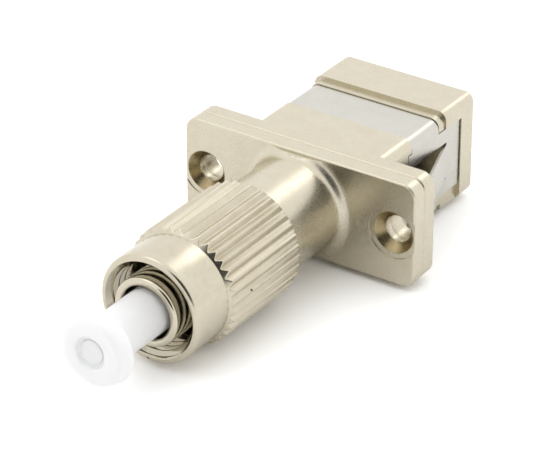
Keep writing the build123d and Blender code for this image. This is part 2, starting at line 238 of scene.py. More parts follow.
@dataclass(frozen=True)
class SmoothBoreWithPaintedShade:
    """The inside of a nut, where the tool cut finer, so it is smoother, and painted shade makes it darker."""

    radius_mm: float
    roughness: float
    colour: str

    def lay(self, surface: Surface) -> None:
        """Smooth the bore and paint shade on it.

        Args:
            surface: the nut's surface.
        """
        inside = add_node(
            surface.tree, "ShaderNodeMath", {0: surface.from_axis(), 1: self.radius_mm * MM},
            operation="LESS_THAN",
        ).outputs[0]
        surface.roughen(inside, self.roughness)
        # painted shade: the bore's colour is darkened to stand for the shade inside the nut
        surface.recolour(inside, linear(self.colour))


@dataclass(frozen=True)
class ScrewHolePaintedShade:
    """Painted shade in rings round the two screw holes of a flange, from a sharp inner edge to a soft outer
    one.
    """

    hole_x_mm: float
    front_y_mm: float
    inner_radius_mm: float
    outer_radii_mm: tuple[float, float]
    colour: str

    def lay(self, surface: Surface) -> None:
        """Paint shade in the rings on the flange's front.

        Args:
            surface: the flange's surface.
        """
        tree = surface.tree
        either = add_node(tree, "ShaderNodeMath", {0: surface.axes["X"]}, operation="ABSOLUTE").outputs[0]
        across = add_node(
            tree, "ShaderNodeMath", {0: either, 1: self.hole_x_mm * MM}, operation="SUBTRACT",
        ).outputs[0]
        spoke = add_node(tree, "ShaderNodeCombineXYZ", {"X": across, "Z": surface.axes["Z"]}).outputs[0]
        reach = add_node(tree, "ShaderNodeVectorMath", {0: spoke}, operation="LENGTH").outputs["Value"]
        full, gone = self.outer_radii_mm
        ring = add_node(tree, "ShaderNodeMapRange", {
            "Value": reach, "From Min": full * MM, "From Max": gone * MM, "To Min": 1.0, "To Max": 0.0,
        }, interpolation_type="SMOOTHSTEP").outputs[0]
        for value, limit, way in (
            (reach, self.inner_radius_mm, "GREATER_THAN"),
            (surface.axes["Y"], self.front_y_mm, "LESS_THAN"),
        ):
            side = add_node(tree, "ShaderNodeMath", {0: value, 1: limit * MM}, operation=way).outputs[0]
            ring = add_node(tree, "ShaderNodeMath", {0: ring, 1: side}, operation="MULTIPLY").outputs[0]
        # painted shade: the ring round each screw hole is darkened for the shade in its countersink
        surface.recolour(ring, linear(self.colour))


@dataclass(frozen=True)
class DarkMarks:
    """Small dark pits and specks: their places, the radius of the dark core and the radius where it ends."""

    places_mm: tuple[tuple[float, float, float], ...]
    colour: str
    core_radius_mm: float = 0.07
    end_radius_mm: float = 0.14

    def lay(self, surface: Surface) -> None:
        """Darken the surface at each mark.

        Args:
            surface: the marked surface.
        """
        for mark in self.places_mm:
            away = add_node(
                surface.tree, "ShaderNodeVectorMath", {0: surface.place, 1: Vector(mark) * MM},
                operation="DISTANCE",
            ).outputs["Value"]
            spot = add_node(surface.tree, "ShaderNodeMapRange", {
                "Value": away, "From Min": self.core_radius_mm * MM, "From Max": self.end_radius_mm * MM,
                "To Min": 1.0, "To Max": 0.0,
            }).outputs[0]
            surface.recolour(spot, linear(self.colour))


@dataclass(frozen=True)
class Metal:
    """A metal surface: plated brass, plated casting, turned or rolled steel.

    Noise runs from 0 to 1 and stays mostly near 0.5. dull_span gives the values of the soft patches at
    which the dull colour begins and is full, and line_span those of the lines at which the roughness has
    the lower and the upper of rough_shares.
    """

    name: str
    bright: str
    dull: str
    roughness: float
    grain: Grain
    line_mm: float
    line_depth_mm: float
    patch_mm: float
    patch_depth_mm: float
    traces: tuple[Trace, ...] = ()
    line_detail: float = 3.0
    patch_detail: float = 4.0
    patch_breakup: float = 0.72
    dull_span: tuple[float, float] = (0.35, 0.7)
    line_span: tuple[float, float] = (0.3, 0.7)
    rough_shares: tuple[float, float] = (0.8, 1.25)
    roll_stretch: float = 0.03

    def drawn(self, surface: Surface) -> bpy.types.NodeSocket:
        """Stretch each point's place, so that noise on it runs the way the tool or the rolls went.

        Args:
            surface: the surface that is being built.

        Returns:
            The stretched place, in steps of one line.
        """
        tree, place = surface.tree, surface.place
        if self.grain is Grain.RINGS:
            radius, y = surface.from_axis(), surface.axes["Y"]
            place = add_node(tree, "ShaderNodeCombineXYZ", {"X": radius, "Y": y}).outputs[0]
        line = 1 / (self.line_mm * MM)
        along = line * self.roll_stretch if self.grain is Grain.ROLLED else line
        return add_node(
            tree, "ShaderNodeVectorMath", {0: place, 1: (line, along, line)}, operation="MULTIPLY",
        ).outputs[0]

    def build(self) -> bpy.types.Material:
        """Make the material.

        Returns:
            A metal whose lines, soft patches, traces and painted shade come from its nodes.
        """
        material, tree = new_material(self.name)
        surface = Surface(tree, linear(self.bright), self.roughness)
        lines = add_node(tree, "ShaderNodeTexNoise", {
            "Vector": self.drawn(surface), "Scale": 1.0, "Detail": self.line_detail,
        }).outputs["Fac"]
        patches = add_node(tree, "ShaderNodeTexNoise", {
            "Vector": surface.place, "Scale": 1 / (self.patch_mm * MM),
            "Detail": self.patch_detail, "Roughness": self.patch_breakup,
        }).outputs["Fac"]
        soft = add_node(tree, "ShaderNodeBump", {
            "Height": patches, "Distance": self.patch_depth_mm * MM, "Strength": 1.0,
        }).outputs[0]
        bump = add_node(tree, "ShaderNodeBump", {
            "Height": lines, "Distance": self.line_depth_mm * MM, "Strength": 1.0, "Normal": soft,
        }).outputs[0]
        dulled = add_node(tree, "ShaderNodeMapRange", {
            "Value": patches, "From Min": self.dull_span[0], "From Max": self.dull_span[1],
        }).outputs[0]
        surface.recolour(dulled, linear(self.dull))
        surface.roughness = add_node(tree, "ShaderNodeMapRange", {
            "Value": lines, "From Min": self.line_span[0], "From Max": self.line_span[1],
            "To Min": self.roughness * self.rough_shares[0],
            "To Max": self.roughness * self.rough_shares[1],
        }).outputs[0]
        for trace in self.traces:
            trace.lay(surface)
        shader = add_node(tree, "ShaderNodeBsdfPrincipled", {
            "Base Color": surface.colour, "Metallic": 1.0, "Roughness": surface.roughness, "Normal": bump,
        }).outputs[0]
        add_node(tree, "ShaderNodeOutputMaterial", {"Surface": shader})
        return material


@dataclass(frozen=True)
class Plastic:
    """A moulded plastic or ceramic: its colour, gloss and how far light goes in."""

    name: str
    colour: str
    roughness: float
    ior: float = 1.5
    depth_mm: float = 0.0
    texture_mm: float = 0.1
    texture_depth_mm: float = 0.002
    texture_detail: float = 3.0

    def build(self) -> bpy.types.Material:
        """Make the material.

        Returns:
            A moulded surface with a faint texture, and soft light inside if depth_mm is set.
        """
        material, tree = new_material(self.name)
        place = add_node(tree, "ShaderNodeTexCoord").outputs["Object"]
        noise = add_node(tree, "ShaderNodeTexNoise", {
            "Vector": place, "Scale": 1 / (self.texture_mm * MM), "Detail": self.texture_detail,
        }).outputs["Fac"]
        bump = add_node(tree, "ShaderNodeBump", {
            "Height": noise, "Distance": self.texture_depth_mm * MM, "Strength": 1.0,
        }).outputs[0]
        shader = add_node(tree, "ShaderNodeBsdfPrincipled", {
            "Base Color": linear(self.colour),
            "Roughness": self.roughness,
            "IOR": self.ior,
            "Subsurface Weight": 1.0 if self.depth_mm else 0.0,
            "Subsurface Radius": (1.0, 1.0, 1.0),
            "Subsurface Scale": self.depth_mm * MM,
            "Normal": bump,
        }).outputs[0]
        add_node(tree, "ShaderNodeOutputMaterial", {"Surface": shader})
        return material


FINISHES: dict[Slot, Any] = {
    # Nickel over turned brass: warm grey and satin, with rings left by the lathe tool. The pressed knurl is
    # duller, and the threaded bore is smooth, with painted shade that makes it dark
    Slot.NUT: Metal(
        "nickel_plated_turned_brass", "#CCC5B2", "#C6BDA9", 0.22, Grain.RINGS, 0.09, 0.0008, 1.3, 0.0034,
        traces=(
            PressedKnurl(cone_tip_y_mm=-23.87, from_radius_mm=4.6, roughness=0.42),
            # painted shade: the bore gets a darker colour for the shade inside the nut
            SmoothBoreWithPaintedShade(radius_mm=4.09, roughness=0.09, colour="#B3AD9C"),
            DarkMarks(((4.98, -16.85, 0.27), (-0.15, -23.3, -4.27)), "#3A2F22"),
        ),
    ),
    # Nickel over a tumbled zinc casting: a softer sheen with a faint orange peel, and painted shade round the
    # screw holes
    Slot.BODY: Metal(
        "nickel_plated_casting", "#CFC8B5", "#CAC2AE", 0.3, Grain.EVEN, 0.12, 0.00015, 1.3, 0.0012,
        # painted shade: dark rings round the screw holes stand for the shade in their countersinks
        traces=(ScrewHolePaintedShade(9.0, front_y_mm=-2.0, inner_radius_mm=1.17, outer_radii_mm=(1.75, 1.9),
                           colour="#9C8D6B"),),
    ),
    # Nickel over finely turned brass: close to a mirror
    Slot.BARREL: Metal(
        "bright_nickel_brass", "#CDC6B3", "#C8C0AD", 0.12, Grain.RINGS, 0.06, 0.0004, 1.5, 0.001,
    ),
    # Drawn music wire: bright steel with fine marks of the die
    Slot.SPRING: Metal(
        "drawn_spring_wire", "#A9A8A3", "#979690", 0.22, Grain.EVEN, 0.05, 0.0004, 1.0, 0.001,
    ),
    # Turned stainless steel: cool grey, with rings left by the lathe tool
    Slot.STEEL: Metal(
        "turned_stainless_steel", "#B5B3AE", "#A8A6A0", 0.2, Grain.RINGS, 0.06, 0.0008, 1.2, 0.002,
    ),
    # Cold-rolled spring sheet: cooler than the plating, with fine lines along the roll
    Slot.CLIP: Metal(
        "cold_rolled_spring_sheet", "#CAC8C0", "#C6C3BB", 0.3, Grain.ROLLED, 0.08, 0.0003, 1.6, 0.0006,
    ),
    # Polished zirconia: white and glossy, and slightly translucent
    Slot.CERAMIC: Plastic("polished_zirconia", "#F1EFE8", 0.12, ior=2.1, depth_mm=0.2),
    # Fused silica: a smooth pale end in the ferrule
    Slot.FIBRE: Plastic("fused_silica", "#D9E0E6", 0.05, ior=1.46),
    # Injection-moulded liquid crystal polymer: black and satin
    Slot.PLASTIC: Plastic("moulded_black_polymer", "#1B1B1C", 0.45),
    # Moulded low-density polyethylene: milky and waxy, because light spreads inside it
    Slot.CAP: Plastic("milky_polyethylene", "#FDFEFF", 0.35, ior=1.51, depth_mm=1.1),
}


def round_corners(
    points: Sequence[tuple[float, float, float]], steps: int = 6, closed: bool = True,
) -> list[Point]:
    """Round the corners of a flat outline with arcs.

    Args:
        points: corners as (x, y, radius); a radius of 0 leaves the corner sharp.
        steps: straight pieces in each arc.
        closed: whether the last corner joins the first.

    Returns:
        The outline's points in order.
    """
    result: list[Point] = []
    count = len(points)
    for i, (x, y, radius) in enumerate(points):
        if not radius or (not closed and i in (0, count - 1)):
            result.append((x, y))
            continue
        here = Vector((x, y))
        before = Vector(points[i - 1][:2]) - here
        after = Vector(points[(i + 1) % count][:2]) - here
        half = before.angle(after) / 2
        reach = radius / math.tan(half)
        start = here + before.normalized() * reach
        middle = (before.normalized() + after.normalized()).normalized()
        centre = here + middle * (radius / math.sin(half))
        spoke = start - centre
        turn = math.pi - 2 * half
        sign = 1 if before.x * after.y - before.y * after.x < 0 else -1
        for k in range(steps + 1):
            angle = sign * turn * k / steps
            c, s = math.cos(angle), math.sin(angle)
            result.append((centre.x + spoke.x * c - spoke.y * s, centre.y + spoke.x * s + spoke.y * c))
    return result


def make_object(name: str, mesh: bpy.types.Mesh) -> bpy.types.Object:
    """Put a mesh in the scene at the origin.

    Args:
        name: the piece's name.
        mesh: its mesh, in metres.

    Returns:
        The new object.
    """
    obj = bpy.data.objects.new(name, mesh)
    bpy.context.scene.collection.objects.link(obj)
    return obj


def smooth(mesh: bpy.types.Mesh, angle: float = SMOOTH_ANGLE) -> None:
    """Shade a mesh smooth, with an edge left sharp where it turns by more than angle."""
    mesh.polygons.foreach_set("use_smooth", [True] * len(mesh.polygons))
    mesh.set_sharp_from_angle(angle=angle)


def lathe(
    name: str, profile: Sequence[Point], segments: int = LATHE_SEGMENTS, closed: bool = True,
    start: float = 0.0,
) -> bpy.types.Mesh:
    """Turn a profile round the optical axis.

    Args:
        name: the mesh's name.
        profile: points as (radius, y) in millimetres; a point on the axis has radius 0.
        segments: steps round the circle.
        closed: whether the last point joins the first.
        start: angle of the first step, in turns.

    Returns:
        A mesh in metres with its faces outwards.
    """
    bm = bmesh.new()
    rings: list[list[bmesh.types.BMVert]] = []
    for radius, y in profile:
        count = segments if radius > ON_AXIS_MM else 1
        angles = [2 * math.pi * (k / segments + start) for k in range(count)]
        rings.append([
            bm.verts.new((radius * MM * math.cos(angle), y * MM, radius * MM * math.sin(angle)))
            for angle in angles
        ])
    pairs = list(zip(rings, rings[1:]))
    if closed:
        pairs.append((rings[-1], rings[0]))
    for first, second in pairs:
        if len(first) == 1 and len(second) == 1:
            continue
        for k in range(segments):
            corners = [ring[i % len(ring)] for ring, i in (
                (first, k), (first, (k + 1) % segments), (second, (k + 1) % segments), (second, k),
            )]
            bm.faces.new(list(dict.fromkeys(corners)))
    bmesh.ops.recalc_face_normals(bm, faces=bm.faces)
    mesh = bpy.data.meshes.new(name)
    bm.to_mesh(mesh)
    bm.free()
    return mesh


def bake_modifiers(obj: bpy.types.Object) -> None:
    """Replace an object's mesh by what its modifiers make of it, and remove them.

    Args:
        obj: the object, with its modifiers in place.
    """
    depsgraph = bpy.context.evaluated_depsgraph_get()
    result = bpy.data.meshes.new_from_object(obj.evaluated_get(depsgraph), depsgraph=depsgraph)
    obj.modifiers.clear()
    obj.data = result


@dataclass
class Piece:
    """What every dressed piece says: the body it rides on, the solids it stands for and its finish."""

    name: str
    body: str
    nodes: tuple[str, ...]
    slot: Slot

    def hand_over(self, obj: bpy.types.Object, materials: dict[Slot, bpy.types.Material]) -> None:
        """Give a finished piece to the frame.

        Args:
            obj: the finished object, at the origin.
            materials: one material for each slot.
        """
        obj.data.materials.clear()
        obj.data.materials.append(materials[self.slot])
        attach(obj, self.body)
        if self.nodes:
            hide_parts(*self.nodes)
        log.info("%s rides on %s, %d faces", obj.name, self.body, len(obj.data.polygons))


@dataclass
class CouplingNut:
    """Coupling nut: smooth collar, straight knurl and a true M8 x 0.75 thread.

    Lengths along the axis count from the rim. tip_land is the flat on a tooth's tip as a share of the
    tooth, and flank gives how far from the crest the thread's flank begins and ends, in turns.
    """

    collar_radius: float = 4.58
    collar_length: float = 4.0
    rim_round: float = 0.4
    rim_inner_radius: float = 4.1
    rim_land: float = 0.04
    pitch: float = 0.75
    thread_turns: float = 5.5
    crest_radius: float = 3.6
    thread_depth: float = 0.4
    flank: tuple[float, float] = (0.06, 0.44)
    chamfer_slope: float = 1.0
    chamber_radius: float = 4.15
    web_front: float = 6.82
    web_radius: float = 3.65
    ring_groove: tuple[float, float, float] = (7.62, 8.52, 4.17)
    web_rear: float = 9.42
    skirt_radius: float = 4.3
    edge_round: float = 0.05
    tip_radius: float = 5.05
    root_radius: float = 4.7
    tip_land: float = 0.085
    turn: float = TEETH_TURN / 360
    rear_chamfer: float = 0.3
    rows_per_pitch: int = 12
    cone_rows: int = 8
    weld: float = 0.002

    def blank(self, front: float, rear: float) -> bpy.types.Mesh:
        """Turn the nut without its teeth and thread; the thread's stretch of bore is left open.

        Args:
            front: y of the rim.
            rear: y of the skirt's end.

        Returns:
            The blank's mesh, with one flat step on each tooth's tip and one in each valley.
        """
        shoulder = front + self.collar_length
        rise = self.tip_radius - self.collar_radius
        cone = [
            (self.collar_radius + rise * k / self.cone_rows, shoulder + rise * k / self.cone_rows, 0.0)
            for k in range(self.cone_rows + 1)
        ]
        groove_front, groove_rear, groove_radius = self.ring_groove
        corners = [
            (self.rim_inner_radius, front, 0.0),
            (self.rim_inner_radius + self.rim_land, front, 0.0),
            (self.collar_radius, front, self.rim_round),
            *cone,
            (self.tip_radius, rear - self.rear_chamfer, 0.0),
            (self.tip_radius - self.rear_chamfer, rear, 0.0),
            (self.skirt_radius, rear, self.edge_round),
            (self.skirt_radius, front + self.web_rear, 0.0),
            (self.web_radius, front + self.web_rear, self.edge_round),
            (self.web_radius, front + groove_rear, 0.0),
            (groove_radius, front + groove_rear, 0.0),
            (groove_radius, front + groove_front, 0.0),
            (self.web_radius, front + groove_front, 0.0),
            (self.web_radius, front + self.web_front, self.edge_round),
            (self.chamber_radius, front + self.web_front, 0.0),
            (self.chamber_radius, front + self.pitch * self.thread_turns, 0.0),
        ]
        start = self.turn + 0.5 / LATHE_SEGMENTS
        return lathe("coupling_nut_blank", round_corners(corners, closed=False), closed=False, start=start)

    def cut_knurl(self, tree: bpy.types.NodeTree, given: Any) -> bpy.types.NodeSocket:
        """Cut the blank down to the surface of the teeth.

        Args:
            tree: the nut's node tree.
            given: the tree's inputs, by name.

        Returns:
            The blank with a triangular groove between each two teeth.
        """
        place = add_node(tree, "GeometryNodeInputPosition").outputs[0]
        axes = add_node(tree, "ShaderNodeSeparateXYZ", {0: place}).outputs
        flat = add_node(
            tree, "ShaderNodeVectorMath", {0: place, 1: ACROSS_AXIS}, operation="MULTIPLY",
        ).outputs[0]
        radius = add_node(tree, "ShaderNodeVectorMath", {0: flat}, operation="LENGTH").outputs["Value"]
        angle = add_node(tree, "ShaderNodeMath", {0: axes["Z"], 1: axes["X"]}, operation="ARCTAN2").outputs[0]
        turn = add_node(tree, "ShaderNodeMath", {0: angle, 1: 2 * math.pi}, operation="DIVIDE").outputs[0]
        ahead = add_node(tree, "ShaderNodeMath", {0: turn, 1: given["Turn"]}, operation="SUBTRACT").outputs[0]
        tooth = add_node(
            tree, "ShaderNodeMath", {0: ahead, 1: given["Teeth"], 2: 0.5}, operation="MULTIPLY_ADD",
        ).outputs[0]
        wave = add_node(tree, "ShaderNodeMath", {0: tooth, 1: 0.5}, operation="PINGPONG").outputs[0]
        full = add_node(
            tree, "ShaderNodeMath", {0: given["Tip land"], 1: -0.5, 2: 0.5}, operation="MULTIPLY_ADD",
        ).outputs[0]
        surface = add_node(tree, "ShaderNodeMapRange", {
            "Value": wave, "From Max": full, "To Min": given["Root radius"], "To Max": given["Tip radius"],
        }).outputs[0]
        lower = add_node(tree, "ShaderNodeMath", {0: radius, 1: surface}, operation="MINIMUM").outputs[0]
        kept = add_node(tree, "ShaderNodeMath", {0: lower, 1: radius}, operation="DIVIDE").outputs[0]
        scale = add_node(tree, "ShaderNodeCombineXYZ", {"X": kept, "Y": 1.0, "Z": kept}).outputs[0]
        cut = add_node(tree, "ShaderNodeVectorMath", {0: place, 1: scale}, operation="MULTIPLY").outputs[0]
        return add_node(
            tree, "GeometryNodeSetPosition", {"Geometry": given["Geometry"], "Position": cut},
        ).outputs[0]

    def wind_thread(self, tree: bpy.types.NodeTree, given: Any) -> bpy.types.NodeSocket:
        """Wind the threaded bore from a flat grid: X of the grid goes round, and Y goes along the helix.

        Args:
            tree: the nut's node tree.
            given: the tree's inputs, by name.

        Returns:
            The bore from the rim's chamfer to the chamber, whose last row steps out to the chamber's wall.
        """
        rows = round(self.rows_per_pitch * (self.thread_turns + 1))
        step = (rows + 1) / rows
        grid = add_node(tree, "GeometryNodeMeshGrid", {
            "Size X": 1.0, "Size Y": 1.0, "Vertices X": LATHE_SEGMENTS + 1, "Vertices Y": rows + 2,
        }).outputs[0]
        place = add_node(tree, "GeometryNodeInputPosition").outputs[0]
        axes = add_node(tree, "ShaderNodeSeparateXYZ", {0: place}).outputs
        along = add_node(tree, "ShaderNodeMath", {0: axes["X"], 1: 0.5}, operation="ADD").outputs[0]
        across = add_node(
            tree, "ShaderNodeMath", {0: axes["Y"], 1: step, 2: step / 2}, operation="MULTIPLY_ADD",
        ).outputs[0]
        helix = add_node(
            tree, "ShaderNodeMath", {0: across, 1: self.thread_turns + 1, 2: along}, operation="MULTIPLY_ADD",
        ).outputs[0]
        begun = add_node(tree, "ShaderNodeMath", {0: helix, 1: 1.0}, operation="SUBTRACT").outputs[0]
        turns = add_node(
            tree, "ShaderNodeClamp", {"Value": begun, "Min": 0.0, "Max": given["Turns"]},
        ).outputs[0]
        phase = add_node(tree, "ShaderNodeMath", {0: turns, 1: along}, operation="SUBTRACT").outputs[0]
        fold = add_node(tree, "ShaderNodeMath", {0: phase, 1: 0.5}, operation="PINGPONG").outputs[0]
        ridge = add_node(tree, "ShaderNodeMapRange", {
            "Value": fold, "From Min": self.flank[0], "From Max": self.flank[1],
            "To Min": 0.0, "To Max": given["Thread depth"],
        }).outputs[0]
        thread = add_node(
            tree, "ShaderNodeMath", {0: given["Crest radius"], 1: ridge}, operation="ADD",
        ).outputs[0]
        depth = add_node(
            tree, "ShaderNodeMath", {0: turns, 1: given["Pitch"]}, operation="MULTIPLY",
        ).outputs[0]
        narrowed = add_node(
            tree, "ShaderNodeMath", {0: depth, 1: given["Chamfer slope"]}, operation="MULTIPLY",
        ).outputs[0]
        mouth = add_node(
            tree, "ShaderNodeMath", {0: given["Rim radius"], 1: narrowed}, operation="SUBTRACT",
        ).outputs[0]
        wall = add_node(tree, "ShaderNodeMath", {0: thread, 1: mouth}, operation="MAXIMUM").outputs[0]
        last = add_node(
            tree, "ShaderNodeMath", {0: across, 1: 1 + 0.5 / rows}, operation="GREATER_THAN",
        ).outputs[0]
        bore = add_node(tree, "ShaderNodeMapRange", {
            "Value": last, "To Min": wall, "To Max": given["Chamber radius"],
        }).outputs[0]
        y = add_node(tree, "ShaderNodeMath", {0: given["Front"], 1: depth}, operation="ADD").outputs[0]
        spoke = add_node(tree, "ShaderNodeCombineXYZ", {"X": bore, "Y": y}).outputs[0]
        angle = add_node(tree, "ShaderNodeMath", {0: along, 1: 2 * math.pi}, operation="MULTIPLY").outputs[0]
        wound = add_node(
            tree, "ShaderNodeVectorRotate", {"Vector": spoke, "Angle": angle},
            rotation_type="Y_AXIS", invert=True,
        ).outputs[0]
        return add_node(tree, "GeometryNodeSetPosition", {"Geometry": grid, "Position": wound}).outputs[0]

    def tree(self, front: float) -> bpy.types.NodeTree:
        """Build the node tree that cuts the knurl and winds the thread.

        Args:
            front: y of the rim.

        Returns:
            A Geometry Nodes tree with named inputs for its sizes.
        """
        tree = bpy.data.node_groups.new("knurl_and_thread", "GeometryNodeTree")
        face = tree.interface
        face.new_socket("Geometry", in_out="INPUT", socket_type="NodeSocketGeometry")
        sizes = {
            "Teeth": TEETH, "Turn": self.turn, "Tip radius": self.tip_radius * MM,
            "Root radius": self.root_radius * MM, "Tip land": self.tip_land,
            "Front": front * MM, "Pitch": self.pitch * MM, "Turns": self.thread_turns,
            "Crest radius": self.crest_radius * MM, "Thread depth": self.thread_depth * MM,
            "Rim radius": self.rim_inner_radius * MM, "Chamfer slope": self.chamfer_slope,
            "Chamber radius": self.chamber_radius * MM,
        }
        for name, value in sizes.items():
            socket = face.new_socket(name, in_out="INPUT", socket_type="NodeSocketFloat")
            socket.default_value = value
        face.new_socket("Material", in_out="INPUT", socket_type="NodeSocketMaterial")
        face.new_socket("Geometry", in_out="OUTPUT", socket_type="NodeSocketGeometry")
        given = add_node(tree, "NodeGroupInput").outputs
        join = add_node(tree, "GeometryNodeJoinGeometry")
        for part in (self.cut_knurl(tree, given), self.wind_thread(tree, given)):
            tree.links.new(part, join.inputs[0])
        merged = add_node(
            tree, "GeometryNodeMergeByDistance", {"Geometry": join.outputs[0], "Distance": self.weld * MM},
        ).outputs[0]
        real = add_node(tree, "GeometryNodeRealizeInstances", {"Geometry": merged}).outputs[0]
        dressed = add_node(
            tree, "GeometryNodeSetMaterial", {"Geometry": real, "Material": given["Material"]},
        ).outputs[0]
        add_node(tree, "NodeGroupOutput", {"Geometry": dressed})
        return tree

    def build(self, materials: dict[Slot, bpy.types.Material]) -> None:
        """Make the nut and hand it to the frame.

        Args:
            materials: one material for each slot.
        """
        low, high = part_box("coupling_nut")
        front, rear = low[1] / MM, high[1] / MM
        obj = make_object("knurled_nut", self.blank(front, rear))
        modifier = obj.modifiers.new("knurl_and_thread", "NODES")
        modifier.node_group = self.tree(front)
        for item in modifier.node_group.interface.items_tree:
            if item.name == "Material":
                modifier[item.identifier] = materials[Slot.NUT]
        bake_modifiers(obj)
        bm = bmesh.new()
        bm.from_mesh(obj.data)
        bmesh.ops.dissolve_degenerate(bm, edges=bm.edges, dist=MERGE_MM * MM)
        bmesh.ops.recalc_face_normals(bm, faces=bm.faces)
        bm.to_mesh(obj.data)
        bm.free()
        smooth(obj.data)
        Piece("knurled_nut", "nut", ("coupling_nut",), Slot.NUT).hand_over(obj, materials)


@dataclass
class PlugBarrel:
    """Inner barrel of the plug, with its shoulder, waist, spigot and key.

    Lengths along the axis count from the barrel's tip. The shoulder is its front, its rear and its radius.
    """

    mouth_radius: float = 2.25
    radius: float = 2.92
    bore_radius: float = 2.55
    lip_round: float = 0.3
    mouth_round: float = 0.24
    edge_round: float = 0.05
    step: float = 3.33
    shoulder: tuple[float, float, float] = (6.83, 8.13, 3.5)
    waist_radius: float = 3.3
    spigot_radius: float = 3.0
    spigot_length: float = 2.4
    key_angle: float = 225.0
    key_width: float = 2.0
    key_radius: float = 3.42
    key_root_radius: float = 2.65
    key_front: float = 0.9
    key_rear: float = 3.9
    key_front_round: float = 0.98
    key_rear_round: float = 0.15

    def build(self, materials: dict[Slot, bpy.types.Material]) -> None:
        """Make the barrel and hand it to the frame.

        Args:
            materials: one material for each slot.
        """
        low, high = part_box("plug_barrel")
        tip, end = low[1] / MM, high[1] / MM
        front, rear, radius = self.shoulder
        corners = [
            (self.mouth_radius, tip, self.mouth_round),
            (self.radius, tip, self.lip_round),
            (self.radius, tip + front, 0.0),
            (radius, tip + front, self.edge_round),
            (radius, tip + rear, self.edge_round),
            (self.waist_radius, tip + rear, 0.0),
            (self.waist_radius, end - self.spigot_length, self.edge_round),
            (self.spigot_radius, end - self.spigot_length, 0.0),
            (self.spigot_radius, end, self.edge_round),
            (self.bore_radius, end, 0.0),
            (self.bore_radius, tip + self.step, 0.0),
            (self.mouth_radius, tip + self.step, 0.0),
        ]
        obj = make_object("barrel", lathe("barrel", round_corners(corners)))
        smooth(obj.data)
        Piece("barrel", "housing", ("plug_barrel",), Slot.BARREL).hand_over(obj, materials)
        key = make_object("barrel_key", self.key(tip))
        smooth(key.data)
        Piece("barrel_key", "housing", (), Slot.BARREL).hand_over(key, materials)

    def key(self, tip: float) -> bpy.types.Mesh:
        """Make the key that stands on the barrel's side.

        Args:
            tip: y of the barrel's front.

        Returns:
            A block with a round nose, sunk a little into the barrel.
        """
        half = self.key_width / 2
        outline = round_corners([
            (-half, tip + self.key_front, self.key_front_round),
            (half, tip + self.key_front, self.key_front_round),
            (half, tip + self.key_rear, self.key_rear_round),
            (-half, tip + self.key_rear, self.key_rear_round),
        ])
        angle = math.radians(self.key_angle)
        out = Vector((math.cos(angle), 0.0, math.sin(angle)))
        side = Vector((-math.sin(angle), 0.0, math.cos(angle)))
        bm = bmesh.new()
        root, top = (
            [
                bm.verts.new((out * level + side * across + Vector((0.0, y, 0.0))) * MM)
                for across, y in outline
            ]
            for level in (self.key_root_radius, self.key_radius)
        )
        for k in range(len(outline)):
            j = (k + 1) % len(outline)
            bm.faces.new([root[k], root[j], top[j], top[k]])
        bm.faces.new(top)
        bm.faces.new(root)
        bmesh.ops.recalc_face_normals(bm, faces=bm.faces)
        mesh = bpy.data.meshes.new("barrel_key")
        bm.to_mesh(mesh)
        bm.free()
        return mesh


@dataclass
class DustCap:
    """Milky dust cap: a hollow stem and a mushroom head with a ring sunk in its face.

    Lengths along the axis count from the face. The ring is its outer radius, its inner radius and its depth.
    """

    stem_radius: float = 1.95
    stem_round: float = 0.15
    bore_radius: float = 1.3
    bore_depth: float = 7.7
    bore_round: float = 0.1
    rim_radius: float = 3.2
    rim_y: float = 1.35
    rim_round: float = 0.25
    face_radius: float = 2.75
    face_round: float = 0.55
    flare_y: float = 1.75
    flare_round: float = 0.7
    ring: tuple[float, float, float] = (1.36, 1.02, 0.35)
    ring_edge_round: float = 0.12
    ring_floor_round: float = 0.08
    dimple: float = 0.25
    segments: int = 96
    smooth_degrees: float = 60.0

    def build(self, materials: dict[Slot, bpy.types.Material]) -> None:
        """Make the cap and hand it to the frame.

        Args:
            materials: one material for each slot.
        """
        low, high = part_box("dust_cap")
        face, end = low[1] / MM, high[1] / MM
        outer, inner, deep = self.ring
        corners = [
            (0.0, end - self.bore_depth, 0.0),
            (self.bore_radius, end - self.bore_depth, self.bore_round),
            (self.bore_radius, end, self.bore_round),
            (self.stem_radius, end, self.stem_round),
            (self.stem_radius, face + self.flare_y, self.flare_round),
            (self.rim_radius, face + self.rim_y, self.rim_round),
            (self.face_radius, face, self.face_round),
            (outer, face, self.ring_edge_round),
            (outer, face + deep, self.ring_floor_round),
            (inner, face + deep, self.ring_floor_round),
            (inner, face + self.dimple, self.ring_edge_round),
            (0.0, face + self.dimple, 0.0),
        ]
        mesh = lathe("cap", round_corners(corners, closed=False), self.segments, closed=False)
        obj = make_object("cap", mesh)
        smooth(obj.data, math.radians(self.smooth_degrees))
        Piece("cap", "cap", ("dust_cap",), Slot.CAP).hand_over(obj, materials)


@dataclass(frozen=True)
class Hollow:
    """A hollow in a round head: the head's axis and face, and the share of its depth that is kept."""

    axis_x: float
    radius: float = 0.33
    face_y: float = -3.0
    kept: float = 0.2

    def shape(self, bm: bmesh.types.BMesh) -> None:
        """Pull the hollow's vertices towards the head's face.

        Args:
            bm: the head's mesh, in metres.
        """
        for vert in bm.verts:
            x, y, z = vert.co / MM
            if math.hypot(x - self.axis_x, z) < self.radius:
                vert.co.y = (self.face_y + (y - self.face_y) * self.kept) * MM


